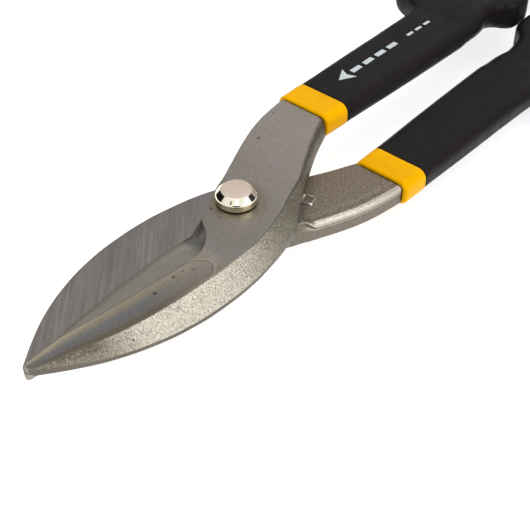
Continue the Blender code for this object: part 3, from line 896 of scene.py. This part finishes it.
def pale_print():
    return grained("pale_print", 0.0, (1800.0, 4.0, 0.65),
                   [(0.28, (0.28, 0.30, 0.31)), (0.42, (0.52, 0.57, 0.59)),
                    (0.8, (0.58, 0.63, 0.65))], (0.45, 0.65), (0.00002, 0.4))


# ---- pieces ----
def make_forging(side, material):
    """One half: blade, plate, arm and tang, drilled for the bolt."""
    near_tip = [TIP_X + 2.3 * (i / 24) ** 1.6 for i in range(24)]
    stations = near_tip + spaced(-61.0, -19.5, 0.45) + spaced(-19.2, -5.0, 0.3)
    stations += spaced(-4.5, 10.2, 0.6) + spaced(10.5, 16.5, 0.3) + spaced(17.0, TANG_START, 0.6)
    rings = [forging_ring(x) for x in stations]
    rings += [tang_ring(x) for x in spaced(TANG_START, TANG_END, 3.0)]
    count = len(rings[0])
    points = [to_row(point, side) for ring in rings for point, label in ring]
    faces = loft_faces(len(rings), count)
    add_cap(points, faces, 0, count, True)
    add_cap(points, faces, (len(rings) - 1) * count, count, False)
    name = side + "_forging"
    mesh = finished_mesh(name, points, faces, 40)
    section = mesh.uv_layers.new(name="section")
    wrap = count - 1
    for polygon in mesh.polygons:
        columns = [v % count for v in polygon.vertices]
        closing = wrap in columns and 0 in columns
        for loop, vertex, column in zip(polygon.loop_indices, polygon.vertices, columns):
            ring = min(vertex // count, len(rings) - 1)
            label = rings[ring][column][1] + (len(SIDE_POINTS) if closing and column == 0 else 0)
            section.data[loop].uv = (label, rings[ring][column][0].x / 100)
    drill(add_piece(name, mesh, material, side, [side + "_half"]))


def drill(forging):
    """Cuts the bolt's hole through a forging."""
    bpy.ops.mesh.primitive_cylinder_add(vertices=96, radius=HOLE_RADIUS * MM, depth=0.02,
                                        location=(0, 0, SHEAR_Z * MM))
    cutter = bpy.context.object
    cut = forging.modifiers.new("hole", "BOOLEAN")
    cut.operation = "DIFFERENCE"
    cut.object = cutter
    apply_modifiers(forging)
    bpy.data.objects.remove(cutter)
    forging.data.set_sharp_from_angle(angle=math.radians(40))


def polar_skin(name, profile, sides, material, body, replaced, closed):
    """A solid round the pivot axis; profile is a list of (radius or radius(angle), z)."""
    points = []
    for radius, z in profile:
        for i in range(sides):
            angle = 2 * math.pi * i / sides
            reach = radius(angle) if callable(radius) else radius
            x, y = reach * math.cos(angle), reach * math.sin(angle)
            points.append(Vector((x, y, z + SHEAR_Z)) * MM)
    faces = loft_faces(len(profile), sides, closed)
    if not closed:
        add_cap(points, faces, 0, sides, True)
        add_cap(points, faces, (len(profile) - 1) * sides, sides, False)
    faces = [face[::-1] for face in faces]
    add_piece(name, finished_mesh(name, points, faces, 30), material, body, replaced)


def rounded_profile(corners, steps=5):
    """A (radius, z) profile whose inner corners (radius, z, round) are rounded."""
    profile = [corners[0][:2]]
    for before, here, after in zip(corners, corners[1:], corners[2:]):
        spot = Vector(here[:2])
        to_before = (Vector(before[:2]) - spot).normalized() * here[2]
        to_after = (Vector(after[:2]) - spot).normalized() * here[2]
        for k in range(steps + 1):
            t = k / steps
            point = (spot + to_before) * (1 - t) ** 2 + spot * 2 * t * (1 - t)
            point = point + (spot + to_after) * t * t
            profile.append((point.x, point.y))
    profile.append(corners[-1][:2])
    return profile


def make_bolt(material):
    """Round head with a broad chamfer over a shank threaded at its lower end."""
    head = rounded_profile([(0.05, HEAD_TOP), (HEAD_FLAT_RADIUS, HEAD_TOP, 0.12),
                            (HEAD_RADIUS, HEAD_UNDERSIDE + HEAD_RIM, 0.4),
                            (HEAD_RADIUS, HEAD_UNDERSIDE, 0.2),
                            (BOLT_RADIUS, HEAD_UNDERSIDE, 0.1), (BOLT_RADIUS, WASHER_TOP)])
    profile = list(head)
    thread_top = WASHER_TOP - 0.2
    for z in spaced(BOLT_BOTTOM, thread_top, 0.08)[::-1]:
        run_in = min(1.0, (thread_top - z) / THREAD_RUN_IN)
        end_taper = max(0.0, BOLT_END_TAPER - (z - BOLT_BOTTOM))

        def threaded(angle, z=z, run_in=run_in, end_taper=end_taper):
            phase = (z / THREAD_PITCH - angle / (2 * math.pi)) % 1.0
            groove = THREAD_DEPTH * (1 - abs(2 * phase - 1)) * run_in
            return min(BOLT_RADIUS - groove, BOLT_RADIUS - end_taper)

        profile.append((threaded, z))
    polar_skin("polished_pivot_bolt", profile, 120, material, UPPER,
               ["pivot_bolt"], False)


def hexagon(limit):
    """The radius of a hexagon with softened corners, held below a limit."""
    def radius(angle):
        off = (angle + math.pi / 6) % (math.pi / 3) - math.pi / 6
        return min(NUT_FLATS / 2 / math.cos(off), limit, NUT_POINT_LIMIT)
    return radius


def make_nut(material):
    """Hexagon nut, chamfered at both ends, over a round collar open for its insert."""
    countersink = 0.35
    profile = [(HOLE_RADIUS + countersink, NUT_TOP)]
    for start, end, z in ((1.0, 0.0, NUT_TOP), (0.0, 1.0, COLLAR_TOP + NUT_CHAMFER_HEIGHT)):
        for k in range(7):
            cut = NUT_CHAMFER * mix(start, end, k / 6) ** 1.3
            profile.append((hexagon(NUT_POINTS - cut), z - NUT_CHAMFER_HEIGHT * k / 6))
    profile.append((COLLAR_RADIUS, COLLAR_TOP))
    for k in range(7):
        angle = math.radians(15 * k)
        profile.append((COLLAR_RADIUS - COLLAR_ROUND * (1 - math.cos(angle)),
                        NUT_BOTTOM + COLLAR_ROUND * (1 - math.sin(angle))))
    profile += [(INSERT_RADIUS + FIT, NUT_BOTTOM + 0.05), (INSERT_RADIUS + FIT, COLLAR_TOP),
                (HOLE_RADIUS, COLLAR_TOP), (HOLE_RADIUS, NUT_TOP - countersink)]
    polar_skin("plated_lock_nut", profile, 192, material, UPPER, ["lock_nut"], True)


def make_ring(name, outer, inner, top, bottom, bevel, material, replaced):
    corners = [(inner, (top + bottom) / 2), (inner, top, 0.08), (outer, top, bevel),
               (outer, bottom, bevel), (inner, bottom, 0.08), (inner, (top + bottom) / 2 - 0.01)]
    polar_skin(name, rounded_profile(corners), 128, material, UPPER, [replaced], True)


def make_sleeve(name, rings, side, material, replaced, cap):
    """A skin through rings of points, capped at both ends or else closed on itself."""
    count = len(rings[0])
    points = [to_row(point, side) for ring in rings for point in ring]
    faces = loft_faces(len(rings), count, closed=not cap)
    if cap:
        add_cap(points, faces, 0, count, True)
        add_cap(points, faces, (len(rings) - 1) * count, count, False)
    add_piece(name, finished_mesh(name, points, faces, 40), material, side, [replaced])


def end_rings(x, radius, steps, grow=0.0):
    """Rings from a grip's end face at x round onto its skin; a radius below 0 goes back."""
    rings = []
    for k in range(steps + 1):
        angle = math.radians(90 * k / steps)
        inset = grow - abs(radius) * (1 - math.sin(angle))
        rings.append(moulded(grip_ring(x + radius * (1 - math.cos(angle)), grow=inset)))
    return rings


def make_band(side, material):
    """Collar with a soft front edge; its back edge meets the grip."""
    rings = [bore(BAND_START)] + end_rings(BAND_START, 0.6, 7)
    rings += [moulded(grip_ring(x)) for x in spaced(BAND_START + 1.0, BAND_END - 0.5, 0.8)]
    rings += end_rings(BAND_END, -0.25, 5)[::-1] + [bore(BAND_END)]
    make_sleeve(side + "_collar", rings, side, material, side + "_grip_band", False)


def make_grip(side, material):
    """Long sleeve with a finger guard, a closing stop and a rounded end."""
    inset = 0.12
    round_start = END_X - END_ROUND
    rings = [bore(x) for x in [TANG_END + FIT] + spaced(GRIP_START, TANG_END, 3.0)[::-1]]
    rings += end_rings(GRIP_START, 0.5, 7, -inset)
    stations = spaced(GRIP_START + 1.0, 94.0, 1.2) + spaced(94.5, 136.0, 0.5)
    stations += spaced(137.0, round_start, 1.2)
    rings += [moulded(grip_ring(x, grow=-inset * (1 - ease(x, 50.0, 70.0)))) for x in stations]
    for k in range(1, 25):
        angle = math.radians(88 * k / 24)
        rings.append(moulded(grip_ring(round_start + END_ROUND * math.sin(angle),
                                       math.cos(angle))))
    make_sleeve(side + "_moulded_grip", rings, side, material, side + "_grip", True)


def make_print(material):
    """A plain straight-cut sign on the upper grip: a dashed line with an arrowhead."""
    thickness, lift = 0.05, 0.03
    points, faces = [], []

    def patch(outline):
        """A thin prism over a flat outline of (x, y) points."""
        first = len(points)
        for x, y in outline:
            top = grip_top(x) + unevenness(Vector((x, y, grip_top(x))))
            for z in (top + lift + thickness, top - thickness):
                points.append(to_row(Vector((x, y, z)), UPPER))
        count = len(outline)
        faces.append([first + 2 * i for i in range(count)])
        faces.append([first + 2 * i + 1 for i in reversed(range(count))])
        for i in range(count):
            j = (i + 1) % count
            faces.append([first + 2 * j, first + 2 * i, first + 2 * i + 1, first + 2 * j + 1])

    patch([(x, SIGN_Y + y) for x, y in SIGN_ARROW])
    for count, start, step, length, half in SIGN_DASHES:
        for i in range(count):
            xs = [start + step * i + length * k / 6 for k in range(7)]
            patch([(x, SIGN_Y - half) for x in xs] + [(x, SIGN_Y + half) for x in xs[::-1]])
    mesh = finished_mesh("straight_cut_sign", points, faces)
    add_piece("straight_cut_sign", mesh, material, UPPER)


def make_forge_mark(side, material):
    """A plain raised outline on the relieved face of an arm, with its foot sunk in."""
    sunk = 0.1
    profile = [(-1.0, 0.0), (-0.6, 0.8), (0.0, 1.0), (0.6, 0.8), (1.0, 0.0)]
    outline = sleeve_ring(0.0, (0.0, 0.0), MARK_HALF, MARK_HALF, MARK_CORNER, 6, (3, 3))
    spin = Matrix.Rotation(MARK_TURN, 2)
    points = []
    for point, out in outline:
        for offset, level in profile:
            spot = point + out * offset * MARK_HALF_WIDTH
            x, y = spot.yz @ spin + MARK_CENTRE
            z = underside_z(MARK_CENTRE.x) + sunk - level * (MARK_HEIGHT + sunk)
            points.append(to_row(Vector((x, y, z)), side))
    count = len(profile)
    faces = [face[::-1] for face in loft_faces(len(outline), count, closed=True)]
    name = side + "_forge_mark"
    add_piece(name, finished_mesh(name, points, faces, 50), material, side)


# ---- surroundings ----
def make_floor():
    """A white sweep that glows a little, so that only a faint shadow falls on it."""
    bpy.ops.mesh.primitive_plane_add(size=12.0, location=(0, 0, 0))
    floor = bpy.context.object
    floor.name = "floor"
    f = Finish("pale_floor", 0.0, 0.9)
    f.colour((0.5, 0.5, 0.5))
    f.shader.inputs["Specular IOR Level"].default_value = 0.0
    f.shader.inputs["Emission Color"].default_value = (1.0, 1.0, 1.0, 1.0)
    f.shader.inputs["Emission Strength"].default_value = FLOOR_GLOW
    floor.data.materials.append(f.material)


def make_lamp(name, place, aim, size, power):
    data = bpy.data.lights.new(name, "AREA")
    data.size = size
    data.energy = power
    lamp = bpy.data.objects.new(name, data)
    lamp.location = place
    lamp.rotation_euler = (Vector(aim) - Vector(place)).to_track_quat("-Z", "Y").to_euler()
    bpy.context.scene.collection.objects.link(lamp)


def make_light():
    """A light tent, brighter on the near side, with dark flags, a bright panel and lamps."""
    world = bpy.data.worlds.new("studio")
    world.use_nodes = True
    bpy.context.scene.world = world
    g = Graph(world.node_tree)
    way = g.node("TexCoord").outputs["Generated"]
    level = g.ramp(g.split(way)[2], [(height, (tone, tone, tone)) for height, tone in TENT])

    def toward(turn, height):
        """How nearly a direction points at a place in the tent, 1 when straight at it."""
        bearing = math.atan2(-VIEW_ALONG.y, -VIEW_ALONG.x) + math.radians(turn)
        height = math.radians(height)
        aim = (math.cos(height) * math.cos(bearing), math.cos(height) * math.sin(bearing),
               math.sin(height))
        node = g.node("VectorMath")
        node.operation = "DOT_PRODUCT"
        g.links.new(way, node.inputs[0])
        node.inputs[1].default_value = aim
        return node.outputs["Value"]

    near = g.span(toward(0.0, NEAR_HEIGHT), -0.2, 0.9)
    level = g.blend(near, level, (NEAR_LEVEL, NEAR_LEVEL, NEAR_LEVEL))
    for turn, height, reach, tone in FLAGS:
        inner, outer = math.cos(math.radians(reach)), math.cos(math.radians(reach * 1.25))
        level = g.blend(g.span(toward(turn, height), outer, inner), level, (tone, tone, tone))
    seen = g.node("LightPath").outputs["Is Camera Ray"]
    g.feed(g.nodes["Background"].inputs["Color"], g.blend(seen, level, (1.0, 1.0, 1.0)))
    for lamp in LAMPS:
        make_lamp(*lamp)


def make_camera():
    data = bpy.data.cameras.new("camera")
    data.lens = LENS
    data.sensor_width = 36.0
    data.clip_start = 0.01
    camera = bpy.data.objects.new("camera", data)
    camera.location = VIEW_FROM
    camera.rotation_euler = VIEW_ALONG.to_track_quat("-Z", "Y").to_euler()
    bpy.context.scene.collection.objects.link(camera)
    bpy.context.scene.camera = camera


def main():
    make_camera()
    make_light()
    make_floor()
    yellow, black = yellow_vinyl(), black_vinyl()
    zinc, wear_and_sheen = zinc_plate(), worn_steel()
    for side in (UPPER, LOWER):
        make_forging(side, steel("forged_steel_" + side, side))
        make_forge_mark(side, wear_and_sheen)
        make_band(side, yellow)
        make_grip(side, black)
    make_bolt(polished_bolt())
    make_ring("plated_washer", WASHER_RADIUS, HOLE_RADIUS, WASHER_TOP,
              WASHER_TOP - WASHER_HEIGHT, 0.25, zinc, "pivot_washer")
    make_nut(zinc)
    make_ring("locking_insert", INSERT_RADIUS, HOLE_RADIUS, COLLAR_TOP - FIT, NUT_BOTTOM + 0.2,
              0.12, nylon(), "nut_insert")
    make_print(pale_print())
    bpy.context.scene.view_settings.view_transform = "Standard"


main()
